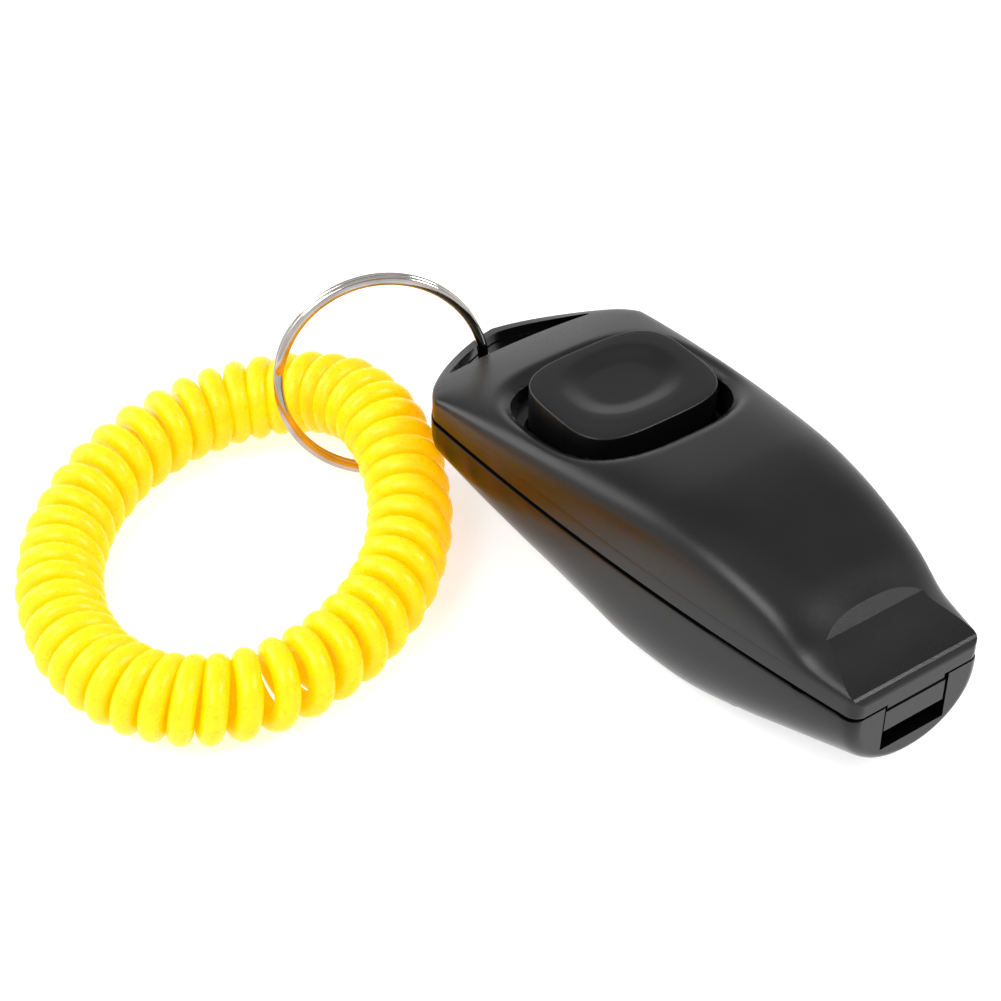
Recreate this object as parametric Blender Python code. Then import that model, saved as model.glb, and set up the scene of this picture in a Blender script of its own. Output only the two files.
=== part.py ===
"""Clicker trainer: a whistle and push-button clicker in one moulded body, with a split ring and a wrist coil.

All the sizes below are in millimetres, in the body's own directions: x runs from the ring end to the
mouthpiece, y across the body, and z is the height above the parting plane of the two shells.
place() turns them into metres, with the origin on the resting land, under the middle of the body.
"""
import math

import bmesh
import bpy
import numpy as np
from mathutils import Matrix, Vector

MM = 0.001

# ---------------------------------------------------------------- driving dimensions
LENGTH = 70.0            # ring end to mouthpiece
HALF_WIDTH = 14.3        # at the parting plane, near the ring end
MOUTH_NARROWING = 5.9    # how much the half width loses on the way to the mouthpiece
NARROW_START = 6.0
NARROW_POWER = 1.7
NOSE_LENGTH = 9.3        # length of the rounded ring end
NOSE_POWER = 1.45
PARTING_HEIGHT = 13.2    # parting plane above the resting land
UPPER_EDGE = 0.1         # lower edge of the upper shell
LOWER_EDGE = -0.2        # upper edge of the lower shell
WALL = 1.6
GAP = 0.3                # between pieces that rest on each other
BAND_HEIGHT = 2.1        # straight band of the upper shell above the parting plane
LOWER_PROUD = 0.15       # how far the lower shell's edge stands out past the upper shell's

# height of the crown above the parting plane, and depth of the belly below it, along the body
CROWN = [(0, 1.0), (3, 1.6), (7, 2.9), (12, 4.4), (18, 5.8), (26, 7.3), (34, 8.5), (42, 9.4), (46, 9.45),
         (50, 9.15), (54, 8.45), (58, 7.4), (61.8, 5.93), (66, 4.85), (70, 4.1)]
BELLY = [(0, 1.6), (2, 2.8), (5, 4.8), (8, 6.4), (14, 8.5), (21, 10.8), (25, 12.3), (29, 13.3), (34, 13.5),
         (42, 13.6), (48, 13.4), (54, 12.1), (62, 9.9), (70, 8.1)]
# superellipse powers of the crown's and the belly's sections along the body
CROWN_FULLNESS = [(40, 4.6), (46, 4.6), (52, 4.2), (58, 3.2), (63.2, 1.8), (70, 1.6)]
BELLY_FULLNESS = [(0, 3.3), (8, 3.2), (14, 3.05), (21, 2.75), (25, 2.55), (29, 2.5), (34, 2.8),
                  (40, 3.3), (50, 3.3), (60, 2.8), (70, 2.05)]
BELLY_DROP = 1.15        # straight wall of the lower shell below the parting plane

# mouthpiece: a slanting step cuts the crown down to a flat lip facet
END_ROUNDING = 1.1       # radius of the mouthpiece's upright corners
MOUTH_STATIONS = [65.0, 67.0, 68.9, 69.3, 69.7, LENGTH]
STEP_X = 63.2            # foot of the step, where the lip facet starts
STEP_SLOPE = 0.98
STEP_REACH = 5.0         # far enough back for the slant to come out above the crown
FACET_HIGH = 4.6
FACET_LOW = 2.95

SLOT_BAR = 1.15          # thickness of the strap bar at the ring end
SLOT_INNER_X = 4.9       # body side of the strap slot
SLOT_REACH = 9.5         # how far it runs to each side of the middle

BUTTON_X = 23.6
BUTTON_HALF = (7.45, 9.3)
BUTTON_POWER = 3.6
BUTTON_TOP = 8.1
BUTTON_CLEARANCE = 0.4
BUTTON_SKIRT = 0.55      # top of the flange, where the cap's straight side starts
BUTTON_WALL = 1.3
BUTTON_ROOF = 6.3        # underside of the cap's top
# distance below the button's top, and share of the outline's size, from the edge to the bottom of the dish
BUTTON_EDGE = [(0.5, 1.0), (0.2, 0.985), (0.0, 0.955)]
DISH = [(0.0, 0.8), (0.07, 0.75), (0.25, 0.66), (0.4, 0.56), (0.48, 0.3)]
DISH_POWER = 2.7
WELL_HALF = (10.0, 10.4)
WELL_POWER = 3.0
WELL_FLOOR = 2.2
WELL_FLOOR_THICKNESS = 1.3
WELL_WALL = [(WELL_FLOOR, -0.5), (3.7, 0.0), (5.6, 0.45), (7.4, 1.3), (10.5, 3.2)]
WELL_SURROUND = (11.6, 13.6)
FLANGE_HALF = (8.6, 10.4)
FLANGE_THICKNESS = 1.1
PLUNGER_X = 27.0
PLUNGER_RADIUS = 1.2

PLATE_Z = -4.0           # upper face of the click plate
PLATE_THICKNESS = 0.4
PLATE_START = 13.5
PLATE_END = 34.4
PLATE_HALF_WIDTH = 6.0
PLATE_SCREW_X = 15.0
PLATE_SCREW_Y = 4.0
PLATE_POST_RADIUS = 1.5
PLATE_POST_BOTTOM = -8.4
PLATE_PILOT_RADIUS = 0.9
PLATE_PILOT_BOTTOM = -7.0
PLATE_HOLE_RADIUS = 1.15
PLATE_CORNER_POWER = 9.0
PLATE_SCREW_HEAD = 1.6
PLATE_SCREW_TOP = -3.0
PLATE_SCREW_SHANK = 0.6
PLATE_SCREW_TIP = -6.4
PLATE_SCREW_SLOT = (1.1, 0.2, 0.35)   # half length, half width, depth
DIMPLE_X = 22.4
DIMPLE = [(2.6, 0.6), (2.6, 0.0), (2.2, -0.25), (1.5, -0.55), (0.7, -0.72)]   # radius, height
DIMPLE_WALL = 0.1

INSERT_START = 58.0
INSERT_HALF = 3.87
INSERT_TOP = -0.9
INSERT_BOTTOM = -3.5
WINDWAY_BOTTOM = -5.9
WINDWAY_HALF = 4.15
WINDOW_START = 54.0
LABIUM_Z = -4.7
# bottom of the window's recess: distance past the window's start, and height
WINDOW_RAMP = [(0.1, -9.3), (1.0, -9.05), (2.2, -9.1), (3.6, -9.5), (5.0, -10.2), (6.6, -11.2)]
CHAMBER = (42.0, 52.8)
CHAMBER_HALF = 4.6
CHAMBER_BOTTOM = -10.2
CHAMBER_WALL = 1.2
CHAMBER_WALL_BOTTOM = -11.3
FLUE_START = 44.0        # where the slot from the chamber to the window starts
LID_NECK_HALF = 3.6
KEY = ((62.0, LENGTH - 0.15), (-3.7, 3.7))   # rib of the upper shell above the insert
KEY_ROOT = 0.6
LID_TOP = -0.6
LID_BOTTOM = -1.9

# distance along the body, seat of the head, and tip of the shank
HOUSING_SCREWS = {"housing_screw_rear": (10.4, -4.5, 1.6),
                  "housing_screw_middle": (37.9, -8.6, 3.6)}
SCREW_SHANK = 0.95
SCREW_HEAD = 1.75
SCREW_HEAD_HEIGHT = 1.2
SCREW_HOLE = 1.25
SCREW_CROSS = (1.1, 0.22, 0.55)   # half length, half width, depth
COUNTERBORE = 2.05
BOSS_RADIUS = 2.4
POST_RADIUS = 2.7
OUTSIDE = 20.0           # far enough out to cut right through

RING_CENTRE = (-1.25, -14.1, -0.1)
RING_NORMAL = (0.90, -0.393, 0.189)
RING_OUTER = 12.1
RING_RADIAL = 1.1
RING_WIRE = 0.72         # thickness of one wrap along the ring's axis
RING_WRAP_GAP = 0.08
RING_WRAP_POWER = 3.0
RING_STEP = (0.94, 1.06)   # turns between which the wire passes from one wrap to the other

COIL_CENTRE = (5.0, -37.1)
COIL_HALF = (24.6, 18.0)  # half axes of the coil's centreline
COIL_TURN = 131.5        # degrees from x to the long axis
COIL_RADIUS = 4.75
COIL_LIFT = 3.2          # rise where the split ring passes under the coil
COIL_LIFT_AT = (-3.0, -16.6)
COIL_LIFT_REACH = 10.5
COIL_POINTS = 76

# points on the joint axes of the moving pieces
BUTTON_PIVOT = (BUTTON_X, 0.0, BUTTON_TOP)
PLATE_PIVOT = (PLATE_START, 0.0, PLATE_Z - PLATE_THICKNESS / 2)
RING_PIVOT = (3.37, -3.52, 0.0)
COIL_PIVOT = (-1.0, -15.5, -5.2)


# ---------------------------------------------------------------- helpers
def place(x, y, z):
    """A point in metres, with the origin on the resting land under the middle of the body."""
    return Vector(((x - LENGTH / 2) * MM, y * MM, (z + PARTING_HEIGHT) * MM))


def through(knots, x):
    """A smooth curve through a list of (x, value) knots, with Catmull-Rom slopes."""
    xs = [k[0] for k in knots]
    vs = [k[1] for k in knots]
    if x <= xs[0]:
        return vs[0]
    if x >= xs[-1]:
        return vs[-1]
    i = max(k for k in range(len(xs)) if xs[k] <= x)

    def slope(k):
        low, high = max(k - 1, 0), min(k + 1, len(xs) - 1)
        return (vs[high] - vs[low]) / (xs[high] - xs[low])

    h = xs[i + 1] - xs[i]
    t = (x - xs[i]) / h
    return ((2 * t ** 3 - 3 * t ** 2 + 1) * vs[i] + (t ** 3 - 2 * t ** 2 + t) * h * slope(i)
            + (3 * t ** 2 - 2 * t ** 3) * vs[i + 1] + (t ** 3 - t ** 2) * h * slope(i + 1))


def superellipse(half_a, half_b, power, angle):
    c, s = math.cos(angle), math.sin(angle)
    k = (abs(c) ** power + abs(s) ** power) ** (-1 / power)
    return half_a * c * k, half_b * s * k


def half_width(x):
    """Half width of the upper shell at the parting plane."""
    side = HALF_WIDTH - MOUTH_NARROWING * (max(x - NARROW_START, 0) / (LENGTH - NARROW_START)) ** NARROW_POWER
    if x < NOSE_LENGTH:
        side *= (1 - (1 - x / NOSE_LENGTH) ** NOSE_POWER) ** (1 / NOSE_POWER)
    corner = (x - (LENGTH - END_ROUNDING)) / END_ROUNDING
    if corner > 0:
        side -= END_ROUNDING * (1 - math.sqrt(max(1 - corner * corner, 0)))
    return side


def nose_x(y):
    """Where the ring end's outline stands at a distance y from the middle."""
    low, high = 0.0, NOSE_LENGTH
    for _ in range(40):
        middle = (low + high) / 2
        if half_width(middle) < abs(y):
            low = middle
        else:
            high = middle
    return (low + high) / 2


def band(x):
    return BAND_HEIGHT * (0.38 + 0.62 * min(x / 7, 1.0))


def smooth_step(low, high, value):
    t = min(max((value - low) / (high - low), 0.0), 1.0)
    return t * t * (3 - 2 * t)


def new_object(name, mesh, material=None):
    obj = bpy.data.objects.new(name, mesh)
    bpy.context.scene.collection.objects.link(obj)
    if material:
        obj.data.materials.append(material)
    return obj


def finish_mesh(bm, name, material=None, smooth=True):
    bmesh.ops.remove_doubles(bm, verts=bm.verts, dist=1e-7)
    bmesh.ops.recalc_face_normals(bm, faces=bm.faces)
    mesh = bpy.data.meshes.new(name)
    bm.to_mesh(mesh)
    bm.free()
    if smooth:
        mesh.shade_smooth()
        mesh.set_sharp_from_angle(angle=math.radians(32))
    return new_object(name, mesh, material)


def loft(name, rings, material=None, closed_path=False, smooth=True):
    """A solid through rings of points that all have the same count; open paths are capped."""
    bm = bmesh.new()
    rows = [[bm.verts.new(p) for p in ring] for ring in rings]
    count = len(rows[0])
    steps = len(rows) if closed_path else len(rows) - 1
    for i in range(steps):
        a, b = rows[i], rows[(i + 1) % len(rows)]
        for j in range(count):
            k = (j + 1) % count
            bm.faces.new((a[j], a[k], b[k], b[j]))
    if not closed_path:
        bm.faces.new(rows[0])
        bm.faces.new(list(reversed(rows[-1])))
    return finish_mesh(bm, name, material, smooth)


def prism(name, outline, low, high, material=None, smooth=True):
    """An upright solid from an outline of (x, y) points."""
    return loft(name, [[place(x, y, z) for x, y in outline] for z in (low, high)], material, smooth=smooth)


def side_prism(name, outline, half):
    """A solid across the body from an outline of (x, z) points."""
    return loft(name, [[place(x, y, z) for x, z in outline] for y in (-half, half)], smooth=False)


def box(name, x, y, z, material=None):
    corners = [(x[0], y[0]), (x[1], y[0]), (x[1], y[1]), (x[0], y[1])]
    return prism(name, corners, z[0], z[1], material, smooth=False)


def oval(centre_x, half, power, count=48):
    return [tuple(np.add((centre_x, 0), superellipse(half[0], half[1], power, 2 * math.pi * k / count)))
            for k in range(count)]


def post(name, x, y, radius, low, high, material=None, count=20):
    angles = [2 * math.pi * (k + 0.5) / count for k in range(count)]
    outline = [(x + radius * math.cos(a), y + radius * math.sin(a)) for a in angles]
    return prism(name, outline, low, high, material)


def set_origin(obj, point):
    """Moves the object's origin to a point and leaves its shape where it is."""
    obj.data.transform(Matrix.Translation(-point))
    obj.location = point


def combine(target, tool, operation):
    modifier = target.modifiers.new(tool.name, 'BOOLEAN')
    modifier.operation = operation
    modifier.solver = 'EXACT'
    modifier.object = tool
    tool.hide_render = True
    tool.display_type = 'WIRE'


def cut(target, *tools):
    for tool in tools:
        combine(target, tool, 'DIFFERENCE')


def add(target, *tools):
    for tool in tools:
        combine(target, tool, 'UNION')


def plastic(name, colour, roughness, metallic=0.0):
    material = bpy.data.materials.new(name)
    material.use_nodes = True
    shader = material.node_tree.nodes["Principled BSDF"]
    shader.inputs["Base Color"].default_value = (*colour, 1.0)
    shader.inputs["Roughness"].default_value = roughness
    shader.inputs["Metallic"].default_value = metallic
    return material


# ---------------------------------------------------------------- shells
def stations(start, end):
    """Places along the body, close together round the ring end."""
    nose = [0.02, 0.12, 0.4, 0.9, 1.6, 2.5, 3.6, 4.9, 6.3, 7.8, 9.3, 11]
    body = [13.5, 16, 19, 22, 25, 28, 31, 34, 37, 40, 43, 46, 49, 52, 55, 58, 60.6, STEP_X]
    return [x for x in [start] + nose + body + [end] if start <= x <= end and (x in (start, end)
            or min(abs(x - start), abs(x - end)) > 0.02)]


def crown_ring(x, inset, bottom, count=26):
    """One upright section of the upper shell, inset mm inside its outer surface."""
    width = half_width(x) - inset
    edge = band(x) - inset * 0.3
    height = through(CROWN, x) - inset
    ring = [(width, bottom)]
    for k in range(count + 1):
        y, z = superellipse(width, height - edge, through(CROWN_FULLNESS, x), math.pi * k / count)
        ring.append((y, edge + z))
    ring.append((-width, bottom))
    return [place(x, y, z) for y, z in ring]


def belly_ring(x, inset, top, count=26):
    """One upright section of the lower shell, inset mm inside its outer surface."""
    width = half_width(x) + LOWER_PROUD - inset
    depth = through(BELLY, x) - inset
    drop = min(BELLY_DROP, 0.45 * depth)
    power = through(BELLY_FULLNESS, x)
    ring = [(-width, top)]
    for k in range(count + 1):
        y, z = superellipse(width, depth - drop, power, math.pi * k / count)
        ring.append((-y, -drop - z))
    ring.append((width, top))
    return [place(x, y, max(z, inset - PARTING_HEIGHT)) for y, z in ring]


def strap_slot(name):
    """Crescent opening behind the strap bar, right through both shells."""
    outer, inner = [], []
    for k in range(17):
        y = SLOT_REACH * (k - 8) / 8
        bar = nose_x(y) + SLOT_BAR * math.sqrt(1 + (0.06 * y) ** 2)
        back = SLOT_INNER_X + 0.008 * y * y
        outer.append((min(bar, back - 0.05), y))
        inner.append((back, y))
    return prism(name, outer + inner[::-1], -20, 20)


def make_upper_shell(material):
    xs = stations(0.02, STEP_X) + MOUTH_STATIONS
    shell = loft("upper_shell", [crown_ring(x, 0, UPPER_EDGE) for x in xs], material)
    cut_lip_facet(shell)

    cavity = loft("upper_cavity", [crown_ring(x, WALL, -1.0) for x in stations(7.6, 57.0)])
    surround = prism("well_surround", oval(BUTTON_X, WELL_SURROUND, WELL_POWER),
                     WELL_FLOOR - WELL_FLOOR_THICKNESS, OUTSIDE)
    cut(cavity, surround)
    cut(shell, cavity)

    well_rings = []
    for z, grow in WELL_WALL:
        outline = oval(BUTTON_X, np.add(WELL_HALF, grow), WELL_POWER)
        well_rings.append([place(x, y, z) for x, y in outline])
    well = loft("button_well", well_rings)
    hole = prism("button_hole", oval(BUTTON_X, np.add(BUTTON_HALF, BUTTON_CLEARANCE), BUTTON_POWER),
                 -1, WELL_FLOOR + 2)
    cut(shell, well, hole, strap_slot("upper_slot"))

    for name, (x, _, tip) in HOUSING_SCREWS.items():
        roof = through(CROWN, x - BOSS_RADIUS) - WALL / 2
        add(shell, post(name + "_boss", x, 0, BOSS_RADIUS, GAP / 2, roof))
        cut(shell, post(name + "_pilot", x, 0, SCREW_HOLE, -1, tip + GAP))
    add(shell, box("insert_key", KEY[0], KEY[1], (INSERT_TOP + GAP, KEY_ROOT)))
    return shell


def cut_lip_facet(shell):
    """Slanting step and flat lip facet of the mouthpiece."""
    past_end = LENGTH + 1
    fall = (FACET_HIGH - FACET_LOW) / (LENGTH - STEP_X)
    outline = [(STEP_X - STEP_REACH, OUTSIDE), (STEP_X - STEP_REACH, FACET_HIGH + STEP_REACH * STEP_SLOPE),
               (STEP_X, FACET_HIGH), (past_end, FACET_HIGH - fall * (past_end - STEP_X)), (past_end, OUTSIDE)]
    cut(shell, side_prism("lip_facet", outline, HALF_WIDTH))


def make_lower_shell(material):
    xs = stations(0.02, STEP_X) + MOUTH_STATIONS
    shell = loft("lower_shell", [belly_ring(x, 0, LOWER_EDGE) for x in xs], material)
    cut(shell, loft("lower_cavity", [belly_ring(x, WALL, 1.0) for x in stations(8.2, 52.0)]))
    wall_half = CHAMBER_HALF + CHAMBER_WALL
    add(shell, box("chamber_walls", (CHAMBER[0] - CHAMBER_WALL, WINDOW_START), (-wall_half, wall_half),
                   (CHAMBER_WALL_BOTTOM, LID_BOTTOM - GAP)))
    add_plate_posts(shell)
    add_screw_posts(shell)
    cut_air_path(shell)
    cut(shell, strap_slot("lower_slot"))
    return shell


def add_plate_posts(shell):
    for side, y in (("left", -PLATE_SCREW_Y), ("right", PLATE_SCREW_Y)):
        add(shell, post("plate_post_" + side, PLATE_SCREW_X, y, PLATE_POST_RADIUS, PLATE_POST_BOTTOM,
                        PLATE_Z - PLATE_THICKNESS - GAP))
        cut(shell, post("plate_pilot_" + side, PLATE_SCREW_X, y, PLATE_PILOT_RADIUS, PLATE_PILOT_BOTTOM, 0))


def add_screw_posts(shell):
    for name, (x, seat, _) in HOUSING_SCREWS.items():
        floor = WALL / 2 - min(through(BELLY, x - BOSS_RADIUS), PARTING_HEIGHT)
        add(shell, post(name + "_post", x, 0, POST_RADIUS, floor, -GAP / 2))
        cut(shell, post(name + "_hole", x, 0, SCREW_HOLE, -OUTSIDE, 2))
        cut(shell, post(name + "_counterbore", x, 0, COUNTERBORE, -OUTSIDE, seat))


def cut_air_path(shell):
    """Sound chamber, slot above the labium, window in the belly, windway and the lid's seat."""
    cut(shell, box("chamber", CHAMBER, (-CHAMBER_HALF, CHAMBER_HALF), (CHAMBER_BOTTOM, 2)))
    air = [(FLUE_START, 2), (FLUE_START, LABIUM_Z), (WINDOW_START, LABIUM_Z), (WINDOW_START, -OUTSIDE),
           (INSERT_START, -OUTSIDE), (INSERT_START, WINDWAY_BOTTOM), (LENGTH + 1, WINDWAY_BOTTOM),
           (LENGTH + 1, 2)]
    cut(shell, side_prism("air_path", air, WINDWAY_HALF))
    seat_half = CHAMBER_HALF + CHAMBER_WALL + GAP
    cut(shell, box("lid_seat", (CHAMBER[0] - CHAMBER_WALL - 0.5, INSERT_START + 0.1),
                   (-seat_half, seat_half), (LID_BOTTOM - GAP, 2)))
    ramp = [(WINDOW_START + x, z) for x, z in WINDOW_RAMP]
    ramp = [(ramp[0][0], -OUTSIDE)] + ramp + [(ramp[-1][0], -OUTSIDE)]
    cut(shell, side_prism("window_recess", ramp, HALF_WIDTH))


# ---------------------------------------------------------------- button and click plate
def make_button(material):
    """Cap with a dished top, hollow inside, with a flange under the well's floor and a plunger."""
    profile = [(BUTTON_TOP - BUTTON_SKIRT, 1.0, BUTTON_POWER)]
    profile += [(drop, share, BUTTON_POWER) for drop, share in BUTTON_EDGE]
    profile += [(drop, share, DISH_POWER) for drop, share in DISH]
    rings = []
    for drop, share, power in profile:
        outline = oval(BUTTON_X, np.multiply(BUTTON_HALF, share), power)
        rings.append([place(x, y, BUTTON_TOP - drop) for x, y in outline])
    cap = loft("button_cap", rings, material)
    add(cap, prism("button_flange", oval(BUTTON_X, FLANGE_HALF, WELL_POWER),
                   BUTTON_SKIRT - FLANGE_THICKNESS, BUTTON_SKIRT + 0.01))
    inside = oval(BUTTON_X, np.subtract(BUTTON_HALF, BUTTON_WALL), BUTTON_POWER)
    cut(cap, prism("button_hollow", inside, -3, BUTTON_ROOF))
    add(cap, post("button_plunger", PLUNGER_X, 0, PLUNGER_RADIUS, PLATE_Z + GAP, BUTTON_ROOF + GAP))
    return cap


def cup(name, lift, slimmer):
    rows = []
    for radius, height in DIMPLE:
        outline = [(DIMPLE_X + (radius - slimmer) * math.cos(a), (radius - slimmer) * math.sin(a))
                   for a in np.linspace(0, 2 * math.pi, 20, endpoint=False)]
        rows.append([place(x, y, PLATE_Z + height + lift) for x, y in outline])
    return loft(name, rows)


def make_click_plate(material):
    """Spring-steel strip with rounded corners, two fixing holes and a pressed dimple."""
    half_length = (PLATE_END - PLATE_START) / 2
    centre = (PLATE_START + PLATE_END) / 2
    plate = prism("click_plate", oval(centre, (half_length, PLATE_HALF_WIDTH), PLATE_CORNER_POWER),
                  PLATE_Z - PLATE_THICKNESS, PLATE_Z, material)
    for side, y in (("left", -PLATE_SCREW_Y), ("right", PLATE_SCREW_Y)):
        cut(plate, post("plate_hole_" + side, PLATE_SCREW_X, y, PLATE_HOLE_RADIUS, PLATE_Z - 2, PLATE_Z + 2))
    add(plate, cup("dimple_outside", -PLATE_THICKNESS, 0.0))
    cut(plate, cup("dimple_inside", 0.02, DIMPLE_WALL))
    return plate


def make_plate_screw(name, y, material):
    screw = post(name, PLATE_SCREW_X, y, PLATE_SCREW_HEAD, PLATE_Z + GAP, PLATE_SCREW_TOP, material)
    add(screw, post(name + "_shank", PLATE_SCREW_X, y, PLATE_SCREW_SHANK, PLATE_SCREW_TIP,
                    PLATE_Z + 2 * GAP, count=12))
    length, width, depth = PLATE_SCREW_SLOT
    cut(screw, box(name + "_slot", (PLATE_SCREW_X - length, PLATE_SCREW_X + length), (y - width, y + width),
                   (PLATE_SCREW_TOP - depth, 0)))
    return screw


def make_housing_screw(name, x, seat, tip, material):
    top = seat - GAP
    bottom = top - SCREW_HEAD_HEIGHT
    screw = post(name, x, 0, SCREW_HEAD, bottom, top, material)
    add(screw, post(name + "_shank", x, 0, SCREW_SHANK, top - 0.4, tip, count=14))
    length, width, depth = SCREW_CROSS
    for turn, (a, b) in enumerate(((length, width), (width, length))):
        cut(screw, box(name + "_cross" + str(turn), (x - a, x + a), (-b, b), (bottom - 1, bottom + depth)))
    return screw


def make_whistle_insert(material):
    """Fipple block that closes the top of the windway, with the chamber's lid in one piece."""
    insert = box("whistle_insert", (INSERT_START, LENGTH - 0.1), (-INSERT_HALF, INSERT_HALF),
                 (INSERT_BOTTOM, INSERT_TOP), material)
    lid_half = CHAMBER_HALF + CHAMBER_WALL - 0.1
    add(insert, box("chamber_lid", (CHAMBER[0] - CHAMBER_WALL, INSERT_START - 0.4), (-lid_half, lid_half),
                    (LID_BOTTOM, LID_TOP)))
    add(insert, box("lid_neck", (INSERT_START - 1, INSERT_START + 2), (-LID_NECK_HALF, LID_NECK_HALF),
                    (LID_BOTTOM, INSERT_TOP)))
    return insert


# ---------------------------------------------------------------- split ring and wrist coil
def make_split_ring(material):
    """Two wraps of flat wire that lie on each other and step from one level to the other."""
    normal = Vector(RING_NORMAL).normalized()
    across = normal.cross(Vector((0, 0, 1))).normalized()
    up = normal.cross(across)
    radius = RING_OUTER - RING_RADIAL / 2
    per_turn, section = 56, 8
    rings = []
    for k in range(2 * per_turn - 1):
        angle = 2 * math.pi * k / per_turn
        level = (RING_WIRE + RING_WRAP_GAP) * (smooth_step(*RING_STEP, k / per_turn) - 0.5)
        out = across * math.cos(angle) + up * math.sin(angle)
        ring = []
        for j in range(section):
            turn = 2 * math.pi * (j + 0.5) / section
            a, b = superellipse(RING_RADIAL / 2, RING_WIRE / 2, RING_WRAP_POWER, turn)
            point = Vector(RING_CENTRE) + out * (radius + a) + normal * (level + b)
            ring.append(place(*point))
        rings.append(ring)
    return loft("split_ring", rings, material)


def coil_point(angle):
    """A point of the coil's centreline: an oval that rises where the split ring passes under it."""
    turn = math.radians(COIL_TURN)
    a, b = COIL_HALF[0] * math.cos(angle), COIL_HALF[1] * math.sin(angle)
    x = COIL_CENTRE[0] + a * math.cos(turn) - b * math.sin(turn)
    y = COIL_CENTRE[1] + a * math.sin(turn) + b * math.cos(turn)
    reach = math.hypot(x - COIL_LIFT_AT[0], y - COIL_LIFT_AT[1]) / COIL_LIFT_REACH
    return place(x, y, COIL_RADIUS - PARTING_HEIGHT + COIL_LIFT * math.exp(-reach * reach))


def make_wrist_coil(material):
    """The outer shape of the spiral wrist coil: one round tube that closes on itself."""
    curve = bpy.data.curves.new("wrist_coil", 'CURVE')
    curve.dimensions = '3D'
    curve.bevel_depth = COIL_RADIUS * MM
    curve.bevel_resolution = 4
    spline = curve.splines.new('POLY')
    spline.points.add(COIL_POINTS - 1)
    for k, point in enumerate(spline.points):
        point.co = (*coil_point(2 * math.pi * k / COIL_POINTS), 1.0)
    spline.use_cyclic_u = True
    spline.use_smooth = True
    return new_object("wrist_coil", curve, material)


# ---------------------------------------------------------------- assembly
def main():
    for obj in list(bpy.data.objects):
        bpy.data.objects.remove(obj)
    shell_black = plastic("shell_black", (0.018, 0.018, 0.02), 0.42)
    button_black = plastic("button_black", (0.022, 0.022, 0.024), 0.36)
    insert_black = plastic("insert_black", (0.02, 0.02, 0.022), 0.45)
    steel = plastic("spring_steel", (0.62, 0.62, 0.64), 0.3, 1.0)
    nickel = plastic("nickel_wire", (0.75, 0.73, 0.7), 0.16, 1.0)
    screw_steel = plastic("screw_steel", (0.5, 0.5, 0.52), 0.35, 1.0)
    yellow = plastic("coil_yellow", (0.95, 0.78, 0.02), 0.3)

    make_upper_shell(shell_black)
    make_lower_shell(shell_black)
    for side, y in (("left", -PLATE_SCREW_Y), ("right", PLATE_SCREW_Y)):
        make_plate_screw("plate_screw_" + side, y, screw_steel)
    for name, (x, seat, tip) in HOUSING_SCREWS.items():
        make_housing_screw(name, x, seat, tip, screw_steel)
    make_whistle_insert(insert_black)
    set_origin(make_button(button_black), place(*BUTTON_PIVOT))
    set_origin(make_click_plate(steel), place(*PLATE_PIVOT))
    set_origin(make_split_ring(nickel), place(*RING_PIVOT))
    set_origin(make_wrist_coil(yellow), place(*COIL_PIVOT))


main()
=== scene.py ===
"""Looks of the clicker trainer: black satin shells, dished button, nickel split ring and yellow spiral coil.

Shape sizes are in millimetres in the body's own directions, as in the CAD: x from the ring end to the
mouthpiece, y across, z above the parting plane of the shells. place() turns them into metres.
"""

import math

import bmesh
import bpy
import numpy as np
from mathutils import Matrix, Vector


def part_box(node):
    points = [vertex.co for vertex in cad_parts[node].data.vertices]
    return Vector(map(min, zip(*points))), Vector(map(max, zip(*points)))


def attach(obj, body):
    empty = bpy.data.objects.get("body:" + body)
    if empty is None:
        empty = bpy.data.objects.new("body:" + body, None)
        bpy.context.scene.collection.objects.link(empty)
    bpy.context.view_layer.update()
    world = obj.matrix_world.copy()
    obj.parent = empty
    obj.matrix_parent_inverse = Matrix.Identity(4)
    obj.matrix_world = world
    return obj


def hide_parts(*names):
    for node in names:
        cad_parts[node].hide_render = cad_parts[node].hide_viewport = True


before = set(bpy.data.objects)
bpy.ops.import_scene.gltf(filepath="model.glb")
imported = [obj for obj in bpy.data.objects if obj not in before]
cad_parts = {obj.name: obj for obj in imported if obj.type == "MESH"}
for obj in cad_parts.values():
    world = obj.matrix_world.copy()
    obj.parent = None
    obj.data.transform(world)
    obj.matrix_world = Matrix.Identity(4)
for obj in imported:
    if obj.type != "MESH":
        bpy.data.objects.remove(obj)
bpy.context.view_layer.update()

MM = 0.001

# ---------------------------------------------------------------- places, from the CAD nodes of model.glb
REPLACED = ("lower_shell", "upper_shell", "button_cap", "split_ring", "wrist_coil")
BOXES = {name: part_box(name) for name in REPLACED}
LENGTH = (BOXES["lower_shell"][1][0] - BOXES["lower_shell"][0][0]) / MM
LOWER_EDGE = -0.2        # top of the lower shell and bottom of the upper shell, with a gap between them
UPPER_EDGE = 0.1
PARTING_HEIGHT = BOXES["lower_shell"][1][2] / MM - LOWER_EDGE
BUTTON_TOP = BOXES["button_cap"][1][2] / MM - PARTING_HEIGHT

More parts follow.
